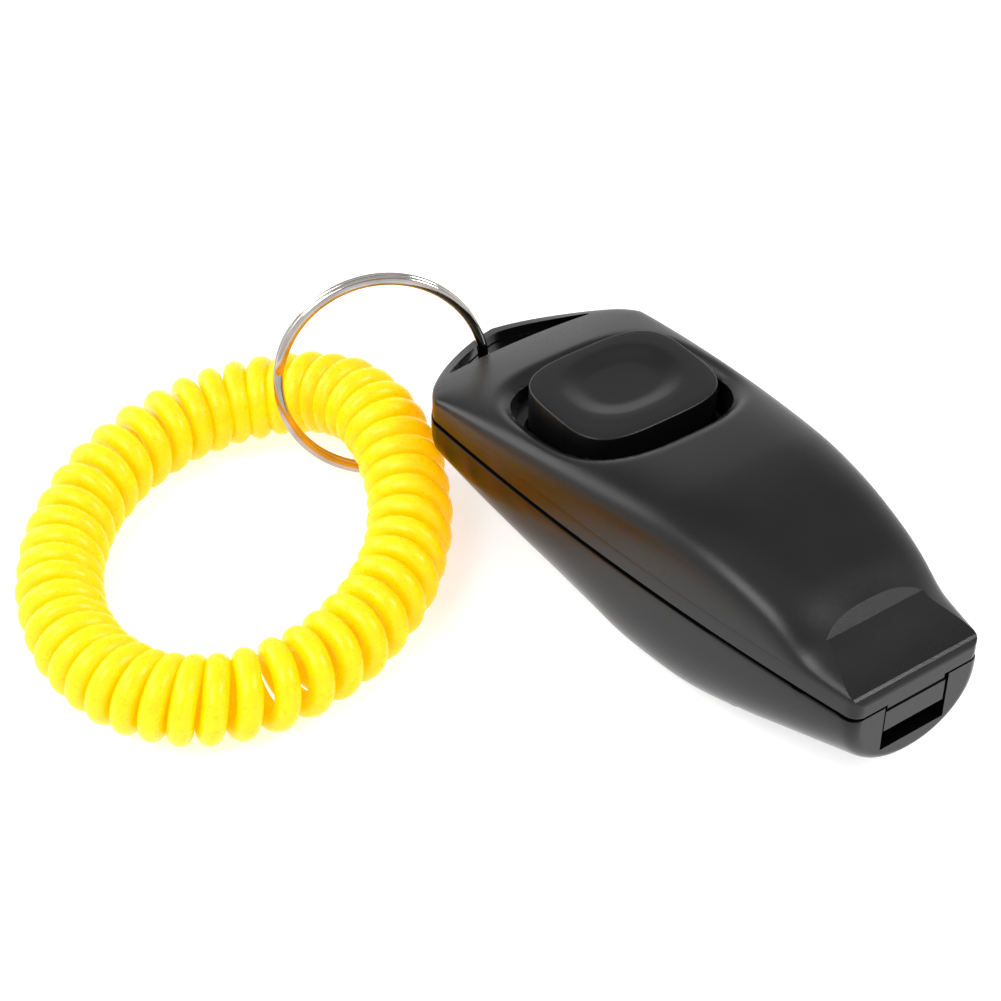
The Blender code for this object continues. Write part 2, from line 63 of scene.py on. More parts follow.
# ---------------------------------------------------------------- the body's form
HALF_WIDTH = 14.3
MOUTH_NARROWING = 6.2
NARROW_START = 6.0
NARROW_POWER = 2.1
NOSE_LENGTH = 9.3
NOSE_POWER = 1.45
LOWER_PROUD = 0.15       # how far the lower shell stands out past the upper one
WALL = 1.6
UPPER_CAVITY = (7.6, 57.0)
LOWER_CAVITY = (8.2, 52.0)
CAVITY_STEP = 2.5
BAND_HEIGHT = 2.1        # plain side band of the upper shell, lower at the ring end
BAND_START_SHARE = 0.38
BAND_RUN = 7.0
INNER_BAND_SHARE = 0.3   # how much lower the band is inside the shell, as a share of the inset
CREASE = 0.03            # ledge where the crown starts inside the side band
CREASE_RUN = (7.0, 15.0)
CROWN = [(0, 1.0), (3, 1.6), (7, 2.9), (12, 4.4), (18, 5.8), (26, 7.3), (34, 8.5), (42, 9.4), (46, 9.45),
         (50, 9.15), (54, 8.45), (58, 7.4), (61.8, 5.86), (63.2, 5.38), (66, 4.75), (70, 4.1)]
BELLY = [(0, 1.6), (2, 2.8), (5, 4.8), (8, 6.4), (14, 8.5), (21, 10.8), (25, 12.3), (29, 13.3), (34, 13.5),
         (42, 13.6), (48, 13.4), (54, 12.1), (62, 9.9), (70, 8.1)]
CROWN_FULLNESS = [(40, 4.6), (46, 4.6), (52, 4.4), (57, 4.0), (60, 3.4), (63.2, 2.1), (66, 1.9), (70, 1.9)]
BELLY_FULLNESS = [(0, 3.3), (8, 3.2), (14, 3.05), (21, 2.75), (25, 2.55), (29, 2.5), (34, 2.8),
                  (40, 3.3), (50, 3.3), (60, 2.8), (70, 2.05)]
BELLY_DROP = 1.15        # straight side of the lower shell, above its rounded belly
BELLY_DROP_SHARE = 0.45
END_ROUNDING = 1.1
END_EDGE = 0.7           # rounding of the end face's upper and lower edges
STEP_X = 63.2            # foot of the slanting step, where the lip facet starts
STEP_SLOPE = 0.98
STEP_REACH = 5.0
FACET_HIGH = 4.6
FACET_LOW = 2.2
LARGE_FACE = 2.5e-6      # flat faces above this area, in square metres, are shaded flat
SEAM_ROUNDING = 0.2      # rounded edges where the shells meet
SEAM_SHARE = 0.3         # the most of a thin edge that is rounded
ROUND_MIDDLE = 0.3       # how far a rounded edge's middle is from the corner, as a share of its radius
SLOT_BAR = 1.15          # strap slot: width of the bar, and the bows of the bar and the back
SLOT_BAR_BOW = 0.06
SLOT_BACK_BOW = 0.008
SLOT_INNER_X = 4.9
SLOT_REACH = 9.5
FAR_ABOVE = 20.0         # cutters that go right through end here
FAR_BELOW = -20.0
PAST_SEAM = 2.0
BUTTON_X = 23.6
BUTTON_HALF = (7.45, 9.3)
BUTTON_POWER = 3.6
BUTTON_CLEARANCE = 0.4
DISH_CENTRE = (-0.7, 0.3)
DISH_HALF = (5.3, 6.9)
DISH_POWER = 2.4
DISH_DEPTH = 0.5
DISH_SAG = 0.1
DISH_RIM = (1.03, 0.56)  # shares of the dish's outline between which its wall falls
BUTTON_EDGE = 0.2        # rounding round the top of the button
BUTTON_POINTS = 144
DISH_RINGS = 25
BUTTON_BOTTOM = 0.55
BUTTON_WALL = 1.3
BUTTON_ROOF = 6.3
FLANGE_HEIGHT = (-0.55, 0.56)
PLUNGER_X = 27.0
PLUNGER_RADIUS = 1.2
PLUNGER_HEIGHT = (-3.7, 6.6)
WELL_CENTRE_X = 23.4
WELL_HALF = (10.3, 10.7)
WELL_POWER = 3.0
WELL_FLOOR = 2.2
WELL_FLOOR_THICKNESS = 1.3
WELL_PROFILE = [(WELL_FLOOR, -0.45), (2.7, -0.12), (4.0, 0.0), (FAR_ABOVE, 0.02)]    # height, growth
WELL_SURROUND = (11.6, 13.6)
WELL_LIP_DROP = 1.25     # how far the crown rolls down to the well's lip
WELL_LIP_WIDTH = 1.7
FLANGE_HALF = (8.6, 10.4)
INSERT_START = 58.0
WINDWAY_BOTTOM = -5.9
WINDWAY_HALF = 4.15
WINDOW_START = 54.0
LABIUM_Z = -4.7
WINDOW_RAMP = [(0.1, -9.3), (1.0, -9.05), (2.2, -9.1), (3.6, -9.5), (5.0, -10.2), (6.6, -11.2)]
FLUE_START = 44.0
CHAMBER = ((42.0, 52.8), (-4.6, 4.6), (-10.2, PAST_SEAM))
CHAMBER_WALLS = ((40.8, WINDOW_START), (-5.8, 5.8), (-11.3, -2.2))
LID_POCKET = ((40.3, INSERT_START + 0.1), (-6.1, 6.1), (-2.2, PAST_SEAM))
INSERT_KEY = ((62.0, LENGTH - 0.15), (-3.7, 3.7), (-0.6, 0.6))
PLATE_POST_X = 15.0
PLATE_POST_Y = 4.0
PLATE_POST_RADIUS = 1.5
PLATE_POST_HEIGHT = (-8.4, -4.9)
PLATE_PILOT_RADIUS = 0.9
PLATE_PILOT_BOTTOM = -7.0
HOUSING_SCREWS = {"rear": (10.4, -4.5, 2.0), "middle": (37.9, -8.6, 4.0)}    # place, seat, top of the hole
SCREW_HOLE = 1.25
SCREW_BOSS = 2.4
SCREW_POST = 2.7
SCREW_GAP = 0.15         # between the parting plane and each end of the boss and the post
COUNTERBORE = 2.05

# ---------------------------------------------------------------- ring and coil
RING_NORMAL = (0.90, -0.393, 0.189)
RING_OUTER = 12.1
RING_RADIAL = 1.1
RING_WIRE = 0.72
RING_WRAP_GAP = 0.14
RING_FULLNESS = 2.2
RING_STEPS = 120         # sections in one turn
RING_CORNERS = 16
RING_CROSSING = (0.94, 1.06)     # turns between which the wire passes from one wrap to the other
RING_END_SHARE = 0.8     # thickness of the wire at its cut ends

COIL_CENTRE = (5.0, -37.1)
COIL_HALF = (24.6, 18.0)
COIL_TURN = 131.5
COIL_RADIUS = 4.75
COIL_LIFT = 3.2
COIL_LIFT_AT = (-3.0, -16.6)
COIL_LIFT_REACH = 10.5
STRAND = 2.7
TURNS = 45
POINTS_PER_TURN = 22
STRAND_CLEARANCE = 0.02
COIL_SEAM = 20.0         # where the strand's ends are, in degrees
COIL_SAMPLES = 2001
BUNCHING = [(0.12, 2, 0.9 + math.pi / 2), (0.05, 5, 0.6), (0.04, 9, 0.0)]    # share, waves, shift
LOOSENESS = 0.012        # how much the turns differ in radius

# ---------------------------------------------------------------- finishes
SOFT_EDGE = 0.12         # rounding of the CAD nodes that stay
SIDE_POLISH = 0.14       # how much smoother the sides are than the grained top
POLISH_BELOW = 14.6      # heights above the floor between which the grain sets in
POLISH_END = 17.0

# ---------------------------------------------------------------- camera
CAMERA_AZIMUTH = 53.64
CAMERA_ELEVATION = 40.04
CAMERA_ROLL = 0.66
CAMERA_PLACE = (0.15443, -0.13796, 0.18588)
CAMERA_LENS = 92.6

# ---------------------------------------------------------------- studio
FLOOR_HALF = 1.6             # metres, as all the studio's sizes
FLOOR_DROP = 0.0004
# Painted light: strength of the glow the floor emits round the object, which whitens it and fills in the
# shadows there.
FLOOR_PAINTED_LIGHT = 0.58
FLOOR_PAINTED_LIGHT_FADE = (0.15, 0.32)    # distances from the middle over which the floor's painted light, its emitted glow, fades out
SKY = [(0.0, 1.35), (0.28, 1.35), (0.6, 0.54), (0.8, 0.48), (0.95, 1.15)]    # rise, brightness
LIGHT_TARGET = (-0.005, -0.02, 0.01)
SOFTBOXES = {"key_softbox": ((0.05, -0.42, 0.46), (0.35, 0.3), 2.4),         # place, size, watts
             "left_softbox": ((-0.40, -0.26, 0.26), (0.3, 0.3), 1.2),
             "step_glow": ((0.30, 0.26, 0.42), (0.16, 0.16), 1.6)}


# ---------------------------------------------------------------- geometry helpers
def place(x, y, z):
    return Vector(((x - LENGTH / 2) * MM, y * MM, (z + PARTING_HEIGHT) * MM))


def through(knots, x):
    """A smooth curve through (x, value) knots, with Catmull-Rom slopes."""
    xs = [k[0] for k in knots]
    vs = [k[1] for k in knots]
    if x <= xs[0]:
        return vs[0]
    if x >= xs[-1]:
        return vs[-1]
    i = max(k for k in range(len(xs)) if xs[k] <= x)

    def slope(k):
        low, high = max(k - 1, 0), min(k + 1, len(xs) - 1)
        return (vs[high] - vs[low]) / (xs[high] - xs[low])

    h = xs[i + 1] - xs[i]
    t = (x - xs[i]) / h
    return ((2 * t ** 3 - 3 * t ** 2 + 1) * vs[i] + (t ** 3 - 2 * t ** 2 + t) * h * slope(i)
            + (3 * t ** 2 - 2 * t ** 3) * vs[i + 1] + (t ** 3 - t ** 2) * h * slope(i + 1))


def smoothstep(low, high, value):
    t = min(max((value - low) / (high - low), 0.0), 1.0)
    return t * t * (3 - 2 * t)


def superellipse(half_a, half_b, power, angle):
    c, s = math.cos(angle), math.sin(angle)
    k = (abs(c) ** power + abs(s) ** power) ** (-1 / power)
    return half_a * c * k, half_b * s * k


def quarter(depth, t):
    """Drop of a rounded edge: 0 at t = 0, depth at t = 1."""
    return depth * (1 - math.sqrt(max(1 - t * t, 0.0))) if t > 0 else 0.0


def half_width(x):
    along = max(x - NARROW_START, 0) / (LENGTH - NARROW_START)
    side = HALF_WIDTH - MOUTH_NARROWING * along ** NARROW_POWER
    if x < NOSE_LENGTH:
        side *= (1 - (1 - max(x, 0) / NOSE_LENGTH) ** NOSE_POWER) ** (1 / NOSE_POWER)
    return side - quarter(END_ROUNDING, (x - LENGTH + END_ROUNDING) / END_ROUNDING)


def nose_x(y):
    """Where the ring end's outline is y wide, by halving."""
    low, high = 0.0, NOSE_LENGTH
    for _ in range(40):
        middle = (low + high) / 2
        if half_width(middle) < abs(y):
            low = middle
        else:
            high = middle
    return (low + high) / 2


def band(x):
    return BAND_HEIGHT * (BAND_START_SHARE + (1 - BAND_START_SHARE) * min(x / BAND_RUN, 1.0))


def end_edge(x):
    """Drop of the rounded edge round the end face."""
    return quarter(END_EDGE, (x - LENGTH + END_EDGE) / END_EDGE)


def facet(x):
    """Height of the lip facet."""
    return FACET_HIGH - (FACET_HIGH - FACET_LOW) * (x - STEP_X) / (LENGTH - STEP_X) - end_edge(x)


def build(bm, name, material, smooth=35):
    bmesh.ops.remove_doubles(bm, verts=bm.verts, dist=2e-7)
    bmesh.ops.recalc_face_normals(bm, faces=bm.faces)
    mesh = bpy.data.meshes.new(name)
    bm.to_mesh(mesh)
    bm.free()
    obj = bpy.data.objects.new(name, mesh)
    bpy.context.scene.collection.objects.link(obj)
    if material:
        mesh.materials.append(material)
    soften(obj, smooth)
    return obj


def soften(obj, angle):
    """Smooth shading, with sharp edges above the angle and round the large flat faces."""
    obj.data.shade_smooth()
    obj.data.set_sharp_from_angle(angle=math.radians(angle))
    for face in obj.data.polygons:
        if face.area > LARGE_FACE:
            face.use_smooth = False


def even_normals(obj):
    """Shading normals weighted by face area, so the slivers left by the Booleans don't show."""
    modifier = obj.modifiers.new("even_normals", "WEIGHTED_NORMAL")
    modifier.keep_sharp = True


def loft(name, rings, material=None, smooth=35, closed_path=False):
    bm = bmesh.new()
    rows = [[bm.verts.new(p) for p in ring] for ring in rings]
    count = len(rows[0])
    for i in range(len(rows) if closed_path else len(rows) - 1):
        a, b = rows[i], rows[(i + 1) % len(rows)]
        for j in range(count):
            k = (j + 1) % count
            bm.faces.new((a[j], a[k], b[k], b[j]))
    if not closed_path:
        bm.faces.new(rows[0])
        bm.faces.new(list(reversed(rows[-1])))
    return build(bm, name, material, smooth)


def prism(name, outline, low, high):
    return loft(name, [[place(x, y, z) for x, y in outline] for z in (low, high)])


def box(name, x, y, z):
    corners = [(x[0], y[0]), (x[1], y[0]), (x[1], y[1]), (x[0], y[1])]
    return prism(name, corners, z[0], z[1])


def oval(centre_x, half, power, count=120):
    angles = [2 * math.pi * (k + 0.5) / count for k in range(count)]
    return [tuple(np.add((centre_x, 0), superellipse(half[0], half[1], power, a))) for a in angles]


def post(name, x, y, radius, low, high, count=40):
    angles = [2 * math.pi * (k + 0.5) / count for k in range(count)]
    return prism(name, [(x + radius * math.cos(a), y + radius * math.sin(a)) for a in angles], low, high)


def carve(target, tools, operation="DIFFERENCE"):
    """Applies exact Booleans to target and removes the tools."""
    for tool in tools:
        modifier = target.modifiers.new(tool.name, "BOOLEAN")
        modifier.operation = operation
        modifier.solver = "EXACT"
        modifier.object = tool
    bpy.context.view_layer.update()
    depsgraph = bpy.context.evaluated_depsgraph_get()
    mesh = bpy.data.meshes.new_from_object(target.evaluated_get(depsgraph))
    target.modifiers.clear()
    target.data = mesh
    for tool in tools:
        bpy.data.objects.remove(tool)


# ---------------------------------------------------------------- materials
class Nodes:
    """A material with a Principled shader and short calls for the nodes it uses."""

    def __init__(self, name, colour, roughness, metallic=0.0):
        self.material = bpy.data.materials.new(name)
        self.material.use_nodes = True
        self.tree = self.material.node_tree
        self.shader = self.tree.nodes["Principled BSDF"]
        self.set("Base Color", (*colour, 1.0))
        self.set("Roughness", roughness)
        self.set("Metallic", metallic)
        self.where = self.tree.nodes.new("ShaderNodeTexCoord").outputs["Object"]

    def set(self, socket, value):
        self.shader.inputs[socket].default_value = value

    def link(self, a, b):
        self.tree.links.new(a, b)

    def stretched(self, scale):
        node = self.tree.nodes.new("ShaderNodeMapping")
        node.inputs["Scale"].default_value = scale
        self.link(self.where, node.inputs["Vector"])
        return node.outputs["Vector"]

    def noise(self, size_mm, detail=3.0, roughness=0.5, vector=None):
        node = self.tree.nodes.new("ShaderNodeTexNoise")
        node.inputs["Scale"].default_value = 1 / (size_mm * MM)
        node.inputs["Detail"].default_value = detail
        node.inputs["Roughness"].default_value = roughness
        self.link(vector or self.where, node.inputs["Vector"])
        return node.outputs["Fac"]

    def height(self):
        """Height above the floor, in metres."""
        node = self.tree.nodes.new("ShaderNodeSeparateXYZ")
        self.link(self.where, node.inputs["Vector"])
        return node.outputs["Z"]

    def reach(self):
        """Distance from the origin, in metres."""
        node = self.tree.nodes.new("ShaderNodeVectorMath")
        node.operation = "LENGTH"
        self.link(self.where, node.inputs[0])
        return node.outputs["Value"]

    def ramp(self, value, low, high, start=0.3, end=0.7):
        node = self.tree.nodes.new("ShaderNodeMapRange")
        node.inputs["From Min"].default_value = start
        node.inputs["From Max"].default_value = end
        node.inputs["To Min"].default_value = low
        node.inputs["To Max"].default_value = high
        self.link(value, node.inputs["Value"])
        return node.outputs["Result"]

    def blend(self, value, one, other):
        node = self.tree.nodes.new("ShaderNodeMix")
        node.data_type = "RGBA"
        node.inputs["A"].default_value = (*one, 1.0)
        node.inputs["B"].default_value = (*other, 1.0)
        self.link(value, node.inputs["Factor"])
        return node.outputs["Result"]

    def add(self, a, b, share):
        """a plus a share of b."""
        node = self.tree.nodes.new("ShaderNodeMath")
        node.operation = "MULTIPLY_ADD"
        node.inputs[1].default_value = share
        self.link(b, node.inputs[0])
        self.link(a, node.inputs[2])
        return node.outputs["Value"]

    def bump(self, height, depth_mm, strength=1.0):
        node = self.tree.nodes.new("ShaderNodeBump")
        node.inputs["Strength"].default_value = strength
        node.inputs["Distance"].default_value = depth_mm * MM
        self.link(height, node.inputs["Height"])
        self.link(node.outputs["Normal"], self.shader.inputs["Normal"])

    def drive(self, socket, value):
        self.link(value, self.shader.inputs[socket])


def moulded_black(name, colour, roughness, grain_mm, grain_depth_mm):
    """Moulded ABS: a fine grain, a slight drift in tone and roughness, and smoother sides below the grain."""
    look = Nodes(name, colour, roughness)
    drift = look.noise(9.0, 2.0)
    grain = look.noise(grain_mm, 2.0, 0.6)
    lighter = tuple(c * 1.5 for c in colour)
    look.drive("Base Color", look.blend(look.ramp(drift, 0.0, 1.0), colour, lighter))
    satin = look.ramp(look.add(drift, grain, 0.35), roughness - 0.05, roughness + 0.06, 0.35, 0.95)
    polish = look.ramp(look.height(), -SIDE_POLISH, 0.0, POLISH_BELOW * MM, POLISH_END * MM)
    look.drive("Roughness", look.add(satin, polish, 1.0))
    look.bump(grain, grain_depth_mm)
    look.set("Specular IOR Level", 0.31)
    return look.material


def nickel(name):
    """Polished nickel wire: a slight drift in tone and small scuffs."""
    look = Nodes(name, (0.4, 0.37, 0.34), 0.12, 1.0)
    scuffs = look.noise(0.35, 5.0, 0.65)
    tint = look.noise(4.0, 2.0)
    look.drive("Base Color", look.blend(look.ramp(tint, 0.0, 1.0), (0.44, 0.41, 0.38), (0.30, 0.27, 0.25)))
    look.drive("Roughness", look.ramp(scuffs, 0.05, 0.16))
    look.bump(scuffs, 0.004, 0.6)
    return look.material


def steel(name, colour, roughness, lines):
    """Rolled or turned steel with fine lines."""
    look = Nodes(name, colour, roughness, 1.0)
    streak = look.noise(0.4, 4.0, 0.6, look.stretched(lines))
    look.drive("Base Color", look.blend(look.ramp(streak, 0.0, 1.0), colour, tuple(c * 0.82 for c in colour)))
    look.drive("Roughness", look.ramp(streak, roughness - 0.08, roughness + 0.1))
    look.bump(streak, 0.005)
    return look.material


def yellow_coil(name):
    """Flexible translucent plastic strand: yellow with deeper clouds, lit through by subsurface and
    transmission, with a painted glow from emission on top, and a glossy skin.
    """
    look = Nodes(name, (1.0, 0.70, 0.002), 0.3)
    cloud = look.noise(1.6, 3.0)
    skin = look.noise(0.5, 4.0, 0.6)
    look.drive("Base Color", look.blend(look.ramp(cloud, 0.0, 1.0), (1.0, 0.49, 0.001), (1.0, 0.43, 0.001)))
    look.drive("Roughness", look.ramp(skin, 0.24, 0.4))
    look.bump(skin, 0.012, 0.7)
    look.set("IOR", 1.47)
    look.set("Specular IOR Level", 0.25)
    look.set("Transmission Weight", 0.1)
    look.set("Subsurface Weight", 0.7)
    look.set("Subsurface Radius", (1.0, 0.75, 0.02))
    look.set("Subsurface Scale", 0.0022)
    # Painted light: an emitted glow that brightens the whole strand, so it stays bright yellow in its shaded
    # creases too.
    look.set("Emission Color", (1.0, 0.73, 0.0, 1.0))
    look.set("Emission Strength", 0.29)
    return look.material


# ---------------------------------------------------------------- camera, light and floor
def make_camera():
    azimuth, elevation, roll = (math.radians(v) for v in (CAMERA_AZIMUTH, CAMERA_ELEVATION, CAMERA_ROLL))
    across = Vector((math.cos(azimuth), math.sin(azimuth), 0))
    level = Vector((-math.sin(azimuth), math.cos(azimuth), 0))
    ahead = math.cos(elevation) * level - math.sin(elevation) * Vector((0, 0, 1))
    up = math.sin(elevation) * level + math.cos(elevation) * Vector((0, 0, 1))
    right = math.cos(roll) * across + math.sin(roll) * up
    top = math.cos(roll) * up - math.sin(roll) * across
    data = bpy.data.cameras.new("camera")
    data.lens = CAMERA_LENS
    data.clip_start = 0.01
    camera = bpy.data.objects.new("camera", data)
    bpy.context.scene.collection.objects.link(camera)
    turn = Matrix((right, top, -ahead)).transposed().to_4x4()
    camera.matrix_world = Matrix.Translation(CAMERA_PLACE) @ turn
    bpy.context.scene.camera = camera


def make_area_light(name, position, size, power):
    data = bpy.data.lights.new(name, "AREA")
    data.shape = "RECTANGLE"
    data.size, data.size_y = size
    data.energy = power
    light = bpy.data.objects.new(name, data)
    light.location = position
    light.rotation_euler = (Vector(LIGHT_TARGET) - Vector(position)).to_track_quat("-Z", "Y").to_euler()
    bpy.context.scene.collection.objects.link(light)


def make_floor():
    look = Nodes("floor_white", (0.6, 0.6, 0.6), 0.8)
    mottle = look.noise(120.0, 2.0)
    look.drive("Base Color", look.blend(look.ramp(mottle, 0.0, 1.0), (0.61, 0.61, 0.61), (0.59, 0.59, 0.59)))
    look.set("Specular IOR Level", 0.1)
    look.set("Emission Color", (1.0, 1.0, 1.0, 1.0))
    # Painted light: the floor emits a glow round the object that whitens it and fills in its shadows. The
    # glow fades out with distance.
    look.drive("Emission Strength", look.ramp(look.reach(), FLOOR_PAINTED_LIGHT, 0.0, FLOOR_PAINTED_LIGHT_FADE[0], FLOOR_PAINTED_LIGHT_FADE[1]))
    bm = bmesh.new()
    bmesh.ops.create_grid(bm, x_segments=8, y_segments=8, size=FLOOR_HALF)
    bmesh.ops.translate(bm, verts=bm.verts, vec=(0, 0, -FLOOR_DROP))
    floor = build(bm, "floor", look.material)


def make_studio():
    """A soft sky, brightest near the horizon and overhead, and three softboxes."""
    world = bpy.data.worlds.new("studio")
    world.use_nodes = True
    tree = world.node_tree
    direction = tree.nodes.new("ShaderNodeTexCoord")
    upward = tree.nodes.new("ShaderNodeSeparateXYZ")
    glow = tree.nodes.new("ShaderNodeValToRGB")
    for k, (rise, level) in enumerate(SKY):
        stop = glow.color_ramp.elements[0] if k == 0 else glow.color_ramp.elements.new(rise)
        stop.position = rise
        stop.color = (level, level, level, 1)
    glow.color_ramp.elements.remove(glow.color_ramp.elements[-1])
    tree.links.new(direction.outputs["Generated"], upward.inputs["Vector"])
    tree.links.new(upward.outputs["Z"], glow.inputs["Fac"])
    tree.links.new(glow.outputs["Color"], tree.nodes["Background"].inputs["Color"])
    bpy.context.scene.world = world
    for name, (position, size, power) in SOFTBOXES.items():
        make_area_light(name, position, size, power)
    view = bpy.context.scene.view_settings
    view.view_transform = "Standard"
    view.look = "None"


# ---------------------------------------------------------------- wrist coil
def coil_point(angle):
    """A point of the coil's centreline and the outward direction there."""
    turn = math.radians(COIL_TURN)
    a, b = COIL_HALF[0] * math.cos(angle), COIL_HALF[1] * math.sin(angle)
    x = COIL_CENTRE[0] + a * math.cos(turn) - b * math.sin(turn)
    y = COIL_CENTRE[1] + a * math.sin(turn) + b * math.cos(turn)
    reach = math.hypot(x - COIL_LIFT_AT[0], y - COIL_LIFT_AT[1]) / COIL_LIFT_REACH
    return Vector((x, y, COIL_RADIUS - PARTING_HEIGHT + COIL_LIFT * math.exp(-reach * reach)))


def coil_angles(count):
    """Angles along the centreline that are evenly far apart, with the turns a little bunched at the sides."""
    fine = np.linspace(0, 2 * math.pi, COIL_SAMPLES)
    points = np.array([coil_point(a) for a in fine])
    steps = np.linalg.norm(np.diff(points, axis=0), axis=1)
    weights = [1.0 + sum(share * math.sin(waves * a + shift) for share, waves, shift in BUNCHING)
               for a in fine[:-1]]
    along = np.concatenate([[0.0], np.cumsum(steps * np.array(weights))])
    return np.interp(np.linspace(0, along[-1], count), along, fine)


def make_coil(material):
    """The strand: one line of TURNS turns round the oval, its two ends fused together."""
    count = TURNS * POINTS_PER_TURN
    radius = COIL_RADIUS - STRAND / 2 - STRAND_CLEARANCE
    start = math.radians(COIL_SEAM)
    points = []
    for k, angle in enumerate(coil_angles(count + 1)[:-1]):
        angle += start
        point = coil_point(angle)
        ahead = (coil_point(angle + 0.01) - coil_point(angle - 0.01)).normalized()
        out = ahead.cross(Vector((0, 0, 1))).normalized()
        up = out.cross(ahead)
        phase = 2 * math.pi * k / POINTS_PER_TURN
        wobble = 1 - LOOSENESS * (1 + math.sin(0.37 * phase + 2 * math.sin(angle)))
        spoke = out * math.cos(phase) + up * math.sin(phase)
        points.append(place(*(point + radius * wobble * spoke)))
    points.append(points[0])
    curve = bpy.data.curves.new("wrist_coil_strand", "CURVE")
    curve.dimensions = "3D"
    curve.bevel_depth = STRAND / 2 * MM
    curve.bevel_resolution = 5
    curve.use_fill_caps = True
    spline = curve.splines.new("POLY")
    spline.points.add(len(points) - 1)
    for target, point in zip(spline.points, points):
        target.co = (*point, 1)
    spline.use_smooth = True
    strand = bpy.data.objects.new("wrist_coil_strand", curve)
    bpy.context.scene.collection.objects.link(strand)
    curve.materials.append(material)
    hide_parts("wrist_coil")
    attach(strand, "coil")


# ---------------------------------------------------------------- shells
def stations(start, end, step=0.62):
    """Places along the body, closest together round the ring end."""
    nose = [0.02, 0.08, 0.2, 0.4, 0.65, 0.95, 1.3, 1.7, 2.15, 2.65, 3.2, 3.75, 4.35, 5.0, 5.6, 6.2]
    middle = list(np.arange(6.8, STEP_X - 0.3, step))
    inner = [x for x in nose + middle if start + 0.1 < x < end - 0.1]
    return [start] + inner + [end]


def end_stations():
    turned = [LENGTH - END_ROUNDING * (1 - math.sin(math.radians(a))) for a in (0, 20, 38, 54, 68, 80, 90)]
    return list(np.linspace(STEP_X + 0.7, LENGTH - END_ROUNDING - 0.5, 8)) + turned


def well_roll(x, y):
    """How far the crown rolls down round the button well."""
    reach = ((abs(x - WELL_CENTRE_X) / WELL_HALF[0]) ** WELL_POWER + (abs(y) / WELL_HALF[1]) ** WELL_POWER)
    away = (reach ** (1 / WELL_POWER) - 1) * WELL_HALF[0]
    share = min(max(1 - away / WELL_LIP_WIDTH, 0.0), 1.0)
    return WELL_LIP_DROP * share * share


def crown_ring(x, inset, bottom, count=104):
    """One upright section of the upper shell, inset mm inside its outer surface."""
    outer = half_width(x) - inset
    edge = band(x) - inset * INNER_BAND_SHARE
    crease = CREASE * smoothstep(*CREASE_RUN, x) if not inset else 0.0
    height = through(CROWN, x) - inset - end_edge(x)
    crown = []
    for k in range(count + 1):
        y, z = superellipse(outer - crease, height - edge, through(CROWN_FULLNESS, x), math.pi * k / count)
        crown.append((y, z + edge - (0.0 if inset else well_roll(x, y))))
    side = [(outer, bottom)]
    if not inset:
        radius = min(SEAM_ROUNDING, SEAM_SHARE * (edge - bottom))
        middle = ROUND_MIDDLE * radius
        side = [(outer - radius, bottom), (outer - middle, bottom + middle),
                (outer, bottom + radius), (outer, edge - radius / 2)]
    ring = side + crown + [(-y, z) for y, z in reversed(side)]
    return [place(x, y, z) for y, z in ring]


def belly_ring(x, inset, top, count=96):
    """One upright section of the lower shell, inset mm inside its outer surface."""
    width = half_width(x) + LOWER_PROUD - inset
    depth = through(BELLY, x) - inset - end_edge(x)
    drop = min(BELLY_DROP, BELLY_DROP_SHARE * depth)
    power = through(BELLY_FULLNESS, x)
    side = [(-width, top)]
    if not inset:
        radius = min(SEAM_ROUNDING, SEAM_SHARE * drop)
        middle = ROUND_MIDDLE * radius
        side = [(-width + radius, top), (-width + middle, top - middle), (-width, top - radius)]
    belly = []
    for k in range(count + 1):
        y, z = superellipse(width, depth - drop, power, math.pi * k / count)
        belly.append((-y, max(-drop - z, inset - PARTING_HEIGHT)))
    ring = side + belly + [(-y, z) for y, z in reversed(side)]
    return [place(x, y, z) for y, z in ring]


def strap_slot(name, half_count=24, least_width=0.05):
    """Crescent opening behind the strap bar."""
    outer, inner = [], []
    for k in range(-half_count, half_count + 1):
        y = SLOT_REACH * k / half_count
        bar = nose_x(y) + SLOT_BAR * math.sqrt(1 + (SLOT_BAR_BOW * y) ** 2)
        back = SLOT_INNER_X + SLOT_BACK_BOW * y * y
        outer.append((min(bar, back - least_width), y))
        inner.append((back, y))
    return prism(name, outer + inner[::-1], FAR_BELOW, FAR_ABOVE)


def side_prism(name, outline, half):
    """A solid across the body from an outline of (x, z) points."""
    return loft(name, [[place(x, y, z) for x, z in outline] for y in (-half, half)])


def lip_facet():
    """Cutter of the slanting step and the flat lip facet, rounded over at the end face."""
    start = STEP_X - STEP_REACH
    outline = [(start, FAR_ABOVE), (start, FACET_HIGH + STEP_REACH * STEP_SLOPE), (STEP_X, FACET_HIGH)]
    outline += [(x, facet(x)) for x in end_stations() if x > LENGTH - END_EDGE - 0.1]
    outline += [(LENGTH + 0.5, facet(LENGTH) - 0.5), (LENGTH + 0.5, FAR_ABOVE)]
    return side_prism("lip_facet", outline, HALF_WIDTH + 1.7)


def finish_shell(shell, node):
    soften(shell, 30)
    even_normals(shell)
    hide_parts(node)
    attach(shell, "housing")


